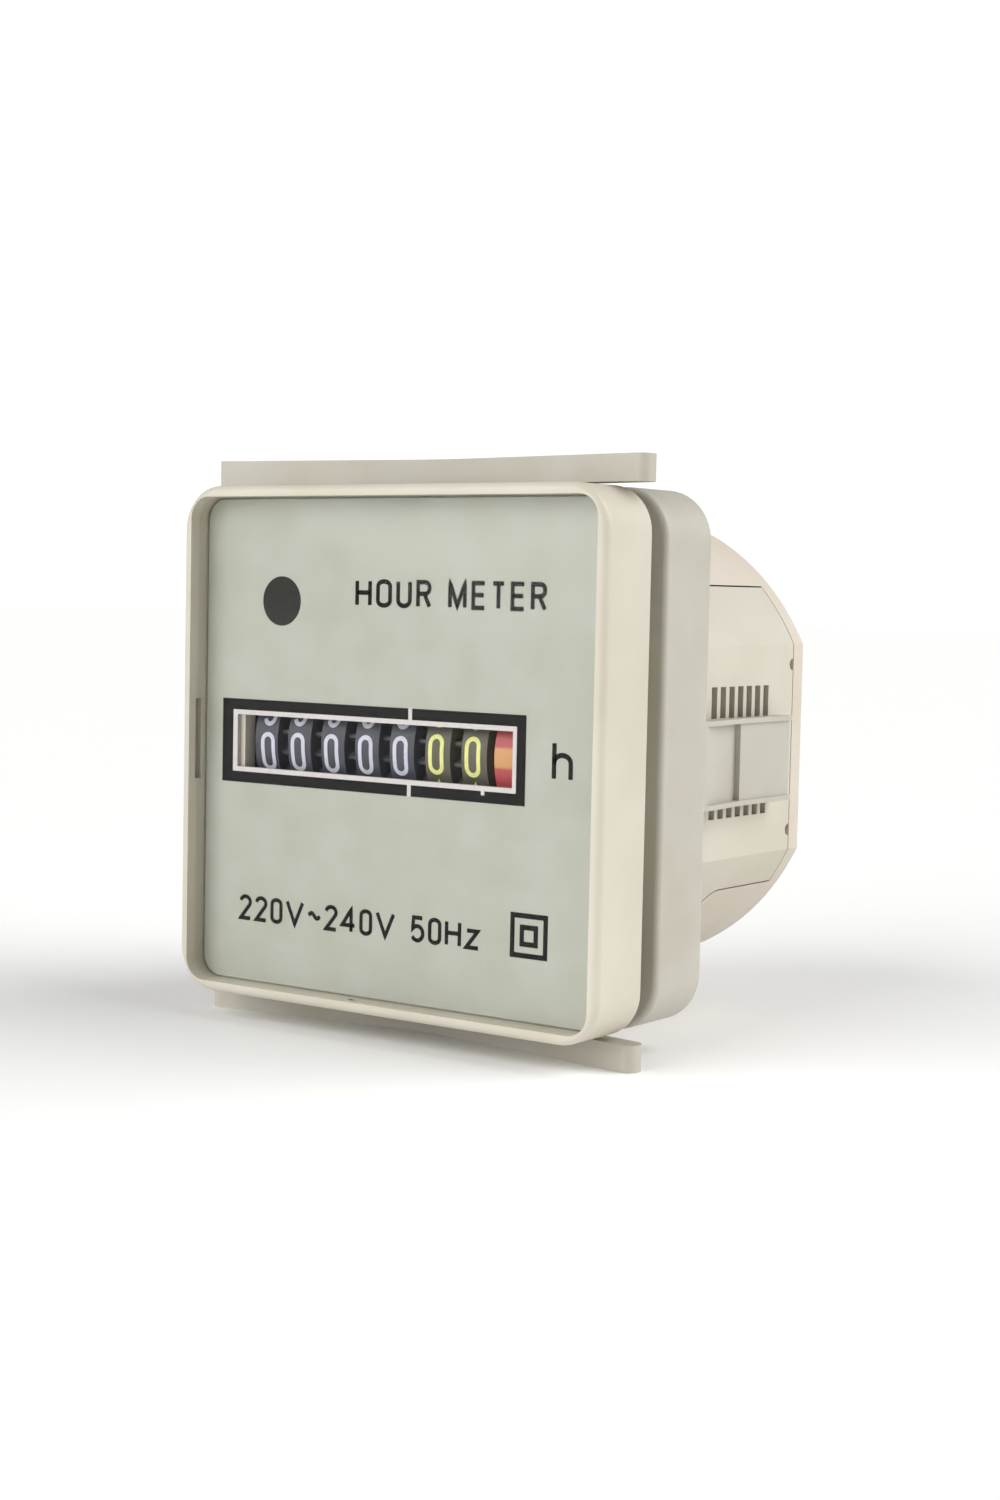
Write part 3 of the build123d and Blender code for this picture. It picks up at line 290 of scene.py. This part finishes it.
# Grey-white ABS of the clamp: a cooler batch of the same plastic, with faint flow marks.
clamp_abs = moulded_plastic("grey_white_abs_moulded", "#B8B4A9", "#B0AB9D", 9, 0.25, 0.012, 0.45, soft=0.05)
# Cover ABS: paler and duller than the bezel.
cover_abs = moulded_plastic("pale_abs_moulded", "#D2C9BC", "#C9C0AF", 12, 0.22, 0.012, 0.5, soft=0.05)
# Cast acrylic, polished: clear, with a mirror at low angles.
window_acrylic = clear_acrylic("clear_acrylic_polished", "#FDFDFC", 0.006, 0.6)
# Painted aluminium dial: flat green-grey lacquer with a barely uneven coat.
dial_lacquer = moulded_plastic("green_grey_lacquer_sprayed", "#B2B4AB", "#ABADA1", 5, 0.3, 0.004, 0.5, 1.5)
# Dark slate acetal of the hour drums: satin, a little blue.
slate_drum = moulded_plastic("slate_acetal_moulded", "#43444F", "#3B3C45", 2, 0.15, 0.006, 0.45, 1.48)
# The two lower drums are a warmer, browner batch, to set them apart.
olive_drum = moulded_plastic("olive_acetal_moulded", "#5C594D", "#535044", 2, 0.15, 0.006, 0.45, 1.48)
# Run indicator: red and tan bands painted on a satin wheel.
banded_acetal = banded_wheel("red_tan_acetal_painted", "#B4464A", "#CC9560", 12, 0.42)
# Natural acetal gears: milky, waxy sheen.
gear_acetal = moulded_plastic("natural_acetal_moulded", "#E4DFCF", "#D9D3C0", 4, 0.2, 0.005, 0.35, 1.48, 0.15)
# Rolled sheet steel, zinc plated: pale grey with a faint warm cast and rolling marks.
zinc_steel = worked_metal("sheet_steel_zinc_plated", "#C3C2BA", "#A9A89F", 0.34, 0.25, "Z", 0.004)
# Ground silver-steel shafts: bright, with fine marks round them.
ground_steel = worked_metal("silver_steel_ground", "#C9CACC", "#B4B5B8", 0.22, 0.12, "Y", 0.003)
# Turned and stamped brass: warm, slightly dulled.
turned_brass = worked_metal("brass_turned", "#D8B56A", "#B8924A", 0.3, 0.2, "X", 0.004)
# Enamelled wire: the real 0.1 mm turns are too fine to show, so they are drawn 0.3 mm apart.
coil_wire = wound_wire("copper_wire_enamelled", "#C0703A", "#5A2A14", 0.3)
# Sintered ferrite: dark grey, matt and grainy.
ferrite = moulded_plastic("ferrite_sintered", "#33322F", "#3F3D39", 1.5, 0.15, 0.02, 0.7, 1.8)
# Dipped epoxy coat: thick, glossy, brick red.
dipped_epoxy = moulded_plastic("epoxy_shell_dipped", "#8E3A22", "#7C3019", 3, 0.8, 0.03, 0.2, 1.55)
# Printing inks.
black_ink = screen_ink("black_ink_screened", "#0F0E0D", "#1C1B19", 0.5)
grey_ink = screen_ink("charcoal_ink_screened", "#2F2F2D", "#373735", 0.5)
white_ink = screen_ink("white_ink_screened", "#D2CDCE", "#C4BFC0", 0.5)
drum_white_ink = screen_ink("white_ink_pad_printed", "#CFCFE0", "#B9B9CC", 0.5)
drum_yellow_ink = screen_ink("lime_yellow_ink_pad_printed", "#E4E596", "#CFD07C", 0.5)

slot_finish = {
    "case_plastic": cream_abs, "clamp_plastic": clamp_abs, "cover_plastic": cover_abs,
    "clear_window": window_acrylic, "dial_card": dial_lacquer, "drum_plastic": slate_drum,
    "indicator_plastic": banded_acetal, "gear_plastic": gear_acetal, "plated_steel": zinc_steel,
    "bright_steel": ground_steel, "brass": turned_brass, "copper_winding": coil_wire,
    "ferrite": ferrite, "capacitor_shell": dipped_epoxy,
}
first_olive_drum = 6
# The record has the counter's cheeks in plated steel. They are drawn here in the drums' dark plastic instead, as
# painted shade: the dark stands in for the shade that falls on them inside the case.
cheeks_painted_as_shade = ("left_cheek", "right_cheek")


def finish_frame_nodes():
    """Give every node of the frame the finish of its slot in the record, except that the later drums take the
    olive plastic and the cheeks take the drums' dark plastic as painted shade.
    """
    slots = {row["node"]: row["material_slot"] for row in frame["record"]["subparts"]}
    for name, node in frame["nodes"].items():
        finish = slot_finish[slots[name]]
        if name.startswith("digit_drum_") and int(name.split("_")[-1]) >= first_olive_drum:
            finish = olive_drum
        # Painted shade: the cheeks take the drums' dark plastic in place of plated steel.
        if name in cheeks_painted_as_shade:
            finish = slate_drum
        for place in node.material_slots:
            place.material = finish


# ---------------------------------------------------------------- drawn letters and digits
def arc(x, z, rx, rz, start, end, steps=10):
    """Points on an ellipse from one angle in degrees to another."""
    turns = [radians(start + (end - start) * i / steps) for i in range(steps + 1)]
    return [(x + rx * cos(t), z + rz * sin(t)) for t in turns]


ring = arc(0.5, 0.8, 0.5, 0.2, 0, 180) + arc(0.5, 0.2, 0.5, 0.2, 180, 360) + [(1.0, 0.8)]
six = arc(0.5, 0.78, 0.46, 0.22, 20, 180) + [(0.0, 0.3)] + arc(0.5, 0.28, 0.5, 0.28, 180, 540, 20)
# Each sign is a list of centre-lines in a box one wide and one high. A line that ends where it starts is a loop.
signs = {
    "0": [ring],
    "1": [[(0.1, 0.78), (0.55, 1.0), (0.55, 0.0)]],
    "2": [arc(0.5, 0.76, 0.5, 0.24, 170, -35) + [(0.0, 0.0), (1.0, 0.0)]],
    "3": [arc(0.47, 0.76, 0.45, 0.24, 150, -85), arc(0.47, 0.26, 0.53, 0.26, 85, -150)],
    "4": [[(1.0, 0.28), (0.0, 0.28), (0.72, 1.0), (0.72, 0.0)]],
    "5": [[(0.92, 1.0), (0.14, 1.0), (0.06, 0.5)] + arc(0.48, 0.32, 0.52, 0.32, 130, -150)],
    "6": [six],
    "7": [[(0.0, 1.0), (1.0, 1.0), (0.35, 0.0)]],
    "8": [arc(0.5, 0.76, 0.44, 0.24, -90, 270, 20), arc(0.5, 0.26, 0.5, 0.26, 90, 450, 20)],
    "9": [[(1 - x, 1 - z) for x, z in six]],
    "H": [[(0.0, 0.0), (0.0, 1.0)], [(1.0, 0.0), (1.0, 1.0)], [(0.0, 0.52), (1.0, 0.52)]],
    "O": [ring],
    "U": [[(0.0, 1.0)] + arc(0.5, 0.24, 0.5, 0.24, 180, 360) + [(1.0, 1.0)]],
    "R": [[(0.0, 0.0), (0.0, 1.0)] + arc(0.62, 0.76, 0.38, 0.24, 90, -90) + [(0.0, 0.52)],
          [(0.55, 0.52), (1.0, 0.0)]],
    "M": [[(0.0, 0.0), (0.0, 1.0), (0.5, 0.05), (1.0, 1.0), (1.0, 0.0)]],
    "E": [[(1.0, 1.0), (0.0, 1.0), (0.0, 0.0), (1.0, 0.0)], [(0.0, 0.52), (0.93, 0.52)]],
    "T": [[(0.0, 1.0), (1.0, 1.0)], [(0.5, 1.0), (0.5, 0.0)]],
    "V": [[(0.0, 1.0), (0.5, 0.0), (1.0, 1.0)]],
    "~": [[(i / 12, 0.5 + 0.12 * sin(2 * pi * i / 12)) for i in range(13)]],
    "z": [[(0.05, 0.72), (0.95, 0.72), (0.0, 0.0), (1.0, 0.0)]],
    "h": [[(0.0, 0.0), (0.0, 1.0)], [(0.0, 0.42)] + arc(0.5, 0.45, 0.5, 0.22, 165, 0) + [(1.0, 0.0)]],
}
# How wide each sign is, as a share of its height.
sign_width = {"2": 0.64, "0": 0.61, "4": 0.74, "5": 0.66, "V": 0.92, "~": 0.70, "z": 0.68,
              "H": 0.74, "O": 0.70, "U": 0.68, "R": 0.66, "M": 0.79, "E": 0.63, "T": 0.61, "h": 0.60}
space_share = 0.36
dial_ink = 0.02
drum_ink = 0.02
chord = 0.35


def split_line(points, step):
    """The same line with no stretch longer than a step, so that it can be bent."""
    line = [points[0]]
    for (x0, z0), (x1, z1) in zip(points, points[1:]):
        parts = max(1, round(hypot(x1 - x0, z1 - z0) / step))
        line += [(x0 + (x1 - x0) * i / parts, z0 + (z1 - z0) * i / parts) for i in range(1, parts + 1)]
    return line


def add_band(mesh, points, width, low, high):
    """A flat band of ink along a line of (x, z) points, its face towards the reader."""
    closed = hypot(points[0][0] - points[-1][0], points[0][1] - points[-1][1]) < width / 50
    if closed:
        points = points[:-1]
    count = len(points)
    stations = []
    for i, (x, z) in enumerate(points):
        before = points[i - 1] if closed or i else points[i]
        after = points[(i + 1) % count] if closed or i < count - 1 else points[i]
        a = Vector((x - before[0], z - before[1]))
        b = Vector((after[0] - x, after[1] - z))
        a = a.normalized() if a.length else b.normalized()
        b = b.normalized() if b.length else a
        along = (a + b).normalized() if (a + b).length > 0.1 else a
        spread = width / 2 / max(0.45, along.dot(a))
        nx, nz = -along.y * spread, along.x * spread
        ring_points = ((x + nx, -high, z + nz), (x - nx, -high, z - nz),
                       (x - nx, -low, z - nz), (x + nx, -low, z + nz))
        stations.append([mesh.verts.new(p) for p in ring_points])
    pairs = list(zip(stations, stations[1:])) + ([(stations[-1], stations[0])] if closed else [])
    for near, far in pairs:
        for i in range(4):
            j = (i + 1) % 4
            mesh.faces.new((near[i], near[j], far[j], far[i]))
    if not closed:
        mesh.faces.new(stations[0])
        mesh.faces.new(reversed(stations[-1]))


def add_sign(mesh, sign, left, base, width, height, stroke, low, high):
    """One letter or digit whose ink just fills its width and height."""
    for line in signs[sign]:
        points = [(left + stroke / 2 + x * (width - stroke), base + stroke / 2 + z * (height - stroke))
                  for x, z in line]
        add_band(mesh, split_line(points, chord), stroke, low, high)


def add_legend(mesh, text, left, base, height, stroke, gap):
    """A line of signs, each as wide as its share says, with one gap between them."""
    for sign in text:
        if sign == " ":
            left += space_share * height * 2 - gap
            continue
        width = sign_width[sign] * height
        add_sign(mesh, sign, left, base, width, height, stroke, 0, dial_ink)
        left += width + gap


def add_block(mesh, x, z, low, high):
    """A rectangle of ink given by its (low, high) pairs."""
    middle = (z[0] + z[1]) / 2
    add_band(mesh, [(x[0], middle), (x[1], middle)], z[1] - z[0], low, high)


def add_frame(mesh, outer, inner, low, high):
    """A rectangular frame of ink between an outer and an inner (left, right, bottom, top)."""
    levels = []
    for depth in (-high, -low):
        for left, right, bottom, top in (outer, inner):
            corners = ((left, bottom), (right, bottom), (right, top), (left, top))
            levels.append([mesh.verts.new((x, depth, z)) for x, z in corners])
    front_outer, front_inner, back_outer, back_inner = levels
    for first, second in ((front_outer, front_inner), (back_inner, back_outer),
                          (back_outer, front_outer), (front_inner, back_inner)):
        for i in range(4):
            j = (i + 1) % 4
            mesh.faces.new((first[i], first[j], second[j], second[i]))


def finish_mesh(mesh, name, material):
    """Turn a drawing in millimetres into an object at the origin, its faces pointing outwards."""
    bmesh.ops.remove_doubles(mesh, verts=mesh.verts, dist=1e-5)
    bmesh.ops.recalc_face_normals(mesh, faces=mesh.faces)
    mesh.transform(Matrix.Scale(mm, 4))
    data = bpy.data.meshes.new(name)
    mesh.to_mesh(data)
    mesh.free()
    data.materials.append(material)
    return bpy.data.objects.new(name, data)


def ride_print(mesh, name, material):
    """Lay a drawing on the dial's face and fix it to the body of the meter."""
    bmesh.ops.translate(mesh, verts=mesh.verts, vec=(0, dial_low.y, 0))
    piece = finish_mesh(mesh, name, material)
    bpy.context.scene.collection.objects.link(piece)
    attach(piece, "root")


# ---------------------------------------------------------------- printed dial
window_left, window_right, window_half = -20.4, 14.3, 2.7
line_outer = (-21.0, 14.75, -3.18, 3.18)
band_outer = (-22.45, 15.8, -4.3, 4.3)
title_left, title_base, title_height, title_stroke, title_gap = -5.11, 14.02, 2.8, 0.45, 0.55
rating_left, rating_base, rating_height, rating_stroke, rating_gap = -19.85, -18.55, 2.66, 0.41, 0.42
unit_left, unit_base, unit_width, unit_height, unit_stroke = 18.8, -1.7, 2.35, 3.8, 0.48
lamp_spot_x, lamp_spot_z, lamp_spot_radius = -14.66, 14.43, 2.5
mark_x, mark_z, mark_outer, mark_inner, mark_stroke = 16.6, -16.55, 4.3, 2.1, 0.5
bar_x, bar_width = 2.02, 0.45
tick_x, tick_width, tick_drop = 10.9, 0.4, 0.4


def square(x, z, side):
    """A closed square line round a centre."""
    half = side / 2
    return [(x - half, z - half), (x + half, z - half), (x + half, z + half), (x - half, z + half),
            (x - half, z - half)]


def print_dial():
    """The legends, the black surround of the window, its white line, and the charcoal spot."""
    black = bmesh.new()
    add_legend(black, "HOUR METER", title_left, title_base, title_height, title_stroke, title_gap)
    add_legend(black, "220V~240V 50Hz", rating_left, rating_base, rating_height, rating_stroke, rating_gap)
    add_sign(black, "h", unit_left, unit_base, unit_width, unit_height, unit_stroke, 0, dial_ink)
    for side in (mark_outer, mark_inner):
        add_band(black, square(mark_x, mark_z, side - mark_stroke), mark_stroke, 0, dial_ink)
    add_frame(black, band_outer, line_outer, 0, dial_ink)
    ride_print(black, "dial_print_black", black_ink)

    white = bmesh.new()
    add_frame(white, line_outer, (window_left, window_right, -window_half, window_half), 0, dial_ink)
    bar = (bar_x - bar_width / 2, bar_x + bar_width / 2)
    for ends in ((line_outer[3], band_outer[3]), (band_outer[2], line_outer[2])):
        add_block(white, bar, ends, dial_ink / 2, 2 * dial_ink)
    tick = (tick_x - tick_width / 2, tick_x + tick_width / 2)
    add_block(white, tick, (line_outer[2] - tick_drop, line_outer[2]), dial_ink / 2, 2 * dial_ink)
    ride_print(white, "dial_print_white", white_ink)

    spot = bmesh.new()
    edge = arc(lamp_spot_x, lamp_spot_z, lamp_spot_radius, lamp_spot_radius, 0, 354, 59)
    front = [spot.verts.new((x, -dial_ink, z)) for x, z in edge]
    back = [spot.verts.new((x, 0, z)) for x, z in edge]
    spot.faces.new(front)
    spot.faces.new(reversed(back))
    for i, j in zip(range(len(edge)), list(range(1, len(edge))) + [0]):
        spot.faces.new((front[i], back[i], back[j], front[j]))
    ride_print(spot, "dial_print_spot", grey_ink)


# ---------------------------------------------------------------- drum digits
digit_width, digit_height, digit_stroke = 1.85, 4.0, 0.45
# How far each drum's zero rests below the window's middle line, in degrees.
drum_rest = [8.0, 7.0, 6.2, 5.2, 4.0, 0.8, 0.8]


def digit_ring_tree():
    """Geometry nodes: ten signs on a straight line, joined, then wrapped round a drum's rim."""
    tree = bpy.data.node_groups.new("digit_ring", "GeometryNodeTree")
    for name, kind in (("Digits", "NodeSocketCollection"), ("Ink", "NodeSocketMaterial"),
                       ("Radius", "NodeSocketFloat"), ("Centre X", "NodeSocketFloat"),
                       ("Axis Y", "NodeSocketFloat"), ("Axis Z", "NodeSocketFloat"),
                       ("Rest angle", "NodeSocketFloat")):
        tree.interface.new_socket(name, in_out="INPUT", socket_type=kind)
    tree.interface.new_socket("Geometry", in_out="OUTPUT", socket_type="NodeSocketGeometry")
    given = add_node(tree, "NodeGroupInput").outputs
    pitch = add_node(tree, "ShaderNodeMath", {0: given["Radius"], 1: -2 * pi / 10}, operation="MULTIPLY")
    step = add_node(tree, "ShaderNodeCombineXYZ", {"Z": pitch.outputs[0]})
    line = add_node(tree, "GeometryNodeMeshLine", {"Count": 10, "Offset": step.outputs[0]})
    set_of_ten = add_node(tree, "GeometryNodeCollectionInfo", {
        "Collection": given["Digits"], "Separate Children": True})
    which = add_node(tree, "GeometryNodeInputIndex")
    placed = add_node(tree, "GeometryNodeInstanceOnPoints", {
        "Points": line.outputs["Mesh"], "Instance": set_of_ten.outputs[0], "Pick Instance": True,
        "Instance Index": which.outputs[0]})
    joined = add_node(tree, "GeometryNodeRealizeInstances", {"Geometry": placed.outputs[0]})
    here = add_node(tree, "GeometryNodeInputPosition")
    split = add_node(tree, "ShaderNodeSeparateXYZ", {0: here.outputs[0]})
    swing = add_node(tree, "ShaderNodeMath", {0: split.outputs["Z"], 1: given["Radius"]}, operation="DIVIDE")
    angle = add_node(tree, "ShaderNodeMath", {0: swing.outputs[0], 1: given["Rest angle"]}, operation="SUBTRACT")
    reach = add_node(tree, "ShaderNodeMath", {0: given["Radius"], 1: split.outputs["Y"]}, operation="SUBTRACT")
    level = add_node(tree, "ShaderNodeMath", {0: angle.outputs[0]}, operation="COSINE")
    rise = add_node(tree, "ShaderNodeMath", {0: angle.outputs[0]}, operation="SINE")
    out = add_node(tree, "ShaderNodeMath", {0: reach.outputs[0], 1: level.outputs[0]}, operation="MULTIPLY")
    up = add_node(tree, "ShaderNodeMath", {0: reach.outputs[0], 1: rise.outputs[0]}, operation="MULTIPLY")
    x = add_node(tree, "ShaderNodeMath", {0: split.outputs["X"], 1: given["Centre X"]}, operation="ADD")
    y = add_node(tree, "ShaderNodeMath", {0: given["Axis Y"], 1: out.outputs[0]}, operation="SUBTRACT")
    z = add_node(tree, "ShaderNodeMath", {0: given["Axis Z"], 1: up.outputs[0]}, operation="ADD")
    wrapped = add_node(tree, "ShaderNodeCombineXYZ", {0: x.outputs[0], 1: y.outputs[0], 2: z.outputs[0]})
    bent = add_node(tree, "GeometryNodeSetPosition", {
        "Geometry": joined.outputs[0], "Position": wrapped.outputs[0]})
    inked = add_node(tree, "GeometryNodeSetMaterial", {"Geometry": bent.outputs[0], "Material": given["Ink"]})
    add_node(tree, "NodeGroupOutput", {0: inked.outputs[0]})
    return tree


def run_tree(tree, name, values):
    """Run a geometry tree once with named inputs and keep its result as a plain mesh object."""
    host = bpy.data.objects.new(name + "_host", bpy.data.meshes.new(name + "_host"))
    bpy.context.scene.collection.objects.link(host)
    modifier = host.modifiers.new("tree", "NODES")
    modifier.node_group = tree
    for item in tree.interface.items_tree:
        if item.in_out == "INPUT" and item.name in values:
            modifier[item.identifier] = values[item.name]
    bpy.context.view_layer.update()
    ready = host.evaluated_get(bpy.context.evaluated_depsgraph_get())
    data = bpy.data.meshes.new_from_object(ready)
    host.modifiers.remove(modifier)
    bpy.data.objects.remove(host)
    data.name = name
    piece = bpy.data.objects.new(name, data)
    bpy.context.scene.collection.objects.link(piece)
    return piece


def print_drums():
    """Ten digits round each drum, each ring riding on its own drum."""
    digits = bpy.data.collections.new("digits")
    for number in range(10):
        mesh = bmesh.new()
        width = digit_width if number != 1 else digit_width * 0.8
        add_sign(mesh, str(number), -width / 2, -digit_height / 2, width, digit_height, digit_stroke,
                 0, drum_ink)
        digits.objects.link(finish_mesh(mesh, f"digit_{number}", drum_white_ink))
    tree = digit_ring_tree()
    for number, (x, rest) in enumerate(zip(drum_centre_x, drum_rest), 1):
        ink = drum_yellow_ink if number >= first_olive_drum else drum_white_ink
        piece = run_tree(tree, f"drum_digits_{number}", {
            "Digits": digits, "Ink": ink, "Radius": drum_radius * mm, "Centre X": x * mm,
            "Axis Y": drum_axis_y * mm, "Axis Z": drum_axis_z * mm, "Rest angle": radians(rest)})
        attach(piece, f"digit_drum_{number}")
    for drawn in list(digits.objects):
        bpy.data.objects.remove(drawn)
    bpy.data.collections.remove(digits)
    bpy.data.node_groups.remove(tree)


# ---------------------------------------------------------------- floor, room light and lamps
floor_side = 6000
room_glow, backdrop_glow = 0.27, 1.05
key_towards, key_strength = (-0.35, -0.85, 0.45), 2.5
side_towards, side_strength = (0.75, 0.4, 0.58), 2.65
lamp_softness = 60


def make_room():
    """A pale floor under the meter, a white room and two soft lamps."""
    mesh = bmesh.new()
    half = floor_side / 2
    corners = ((-half, -half), (half, -half), (half, half), (-half, half))
    mesh.faces.new([mesh.verts.new((x, y, floor_z)) for x, y in corners])
    material, tree, out = new_material("pale_floor_matt")
    shader = add_node(tree, "ShaderNodeBsdfPrincipled", {"Base Color": linear("#FAFAF9"), "Roughness": 0.8})
    tree.links.new(shader.outputs["BSDF"], out.inputs["Surface"])
    mesh.transform(Matrix.Scale(mm, 4))
    data = bpy.data.meshes.new("floor")
    mesh.to_mesh(data)
    mesh.free()
    data.materials.append(material)
    floor = bpy.data.objects.new("floor", data)
    bpy.context.scene.collection.objects.link(floor)

    world = bpy.data.worlds.new("white_room")
    world.use_nodes = True
    room = world.node_tree
    room.nodes.clear()
    seen = add_node(room, "ShaderNodeLightPath")
    strength = add_node(room, "ShaderNodeMapRange", {
        "Value": seen.outputs["Is Camera Ray"], "To Min": room_glow, "To Max": backdrop_glow})
    glow = add_node(room, "ShaderNodeBackground", {
        "Color": linear("#FFFFFF"), "Strength": strength.outputs["Result"]})
    add_node(room, "ShaderNodeOutputWorld", {"Surface": glow.outputs[0]})
    bpy.context.scene.world = world
    bpy.context.scene.view_settings.view_transform = "Standard"
    add_lamp("key_lamp", key_towards, lamp_softness, key_strength)
    add_lamp("side_lamp", side_towards, lamp_softness, side_strength)


make_camera()
finish_frame_nodes()
print_dial()
print_drums()
make_room()
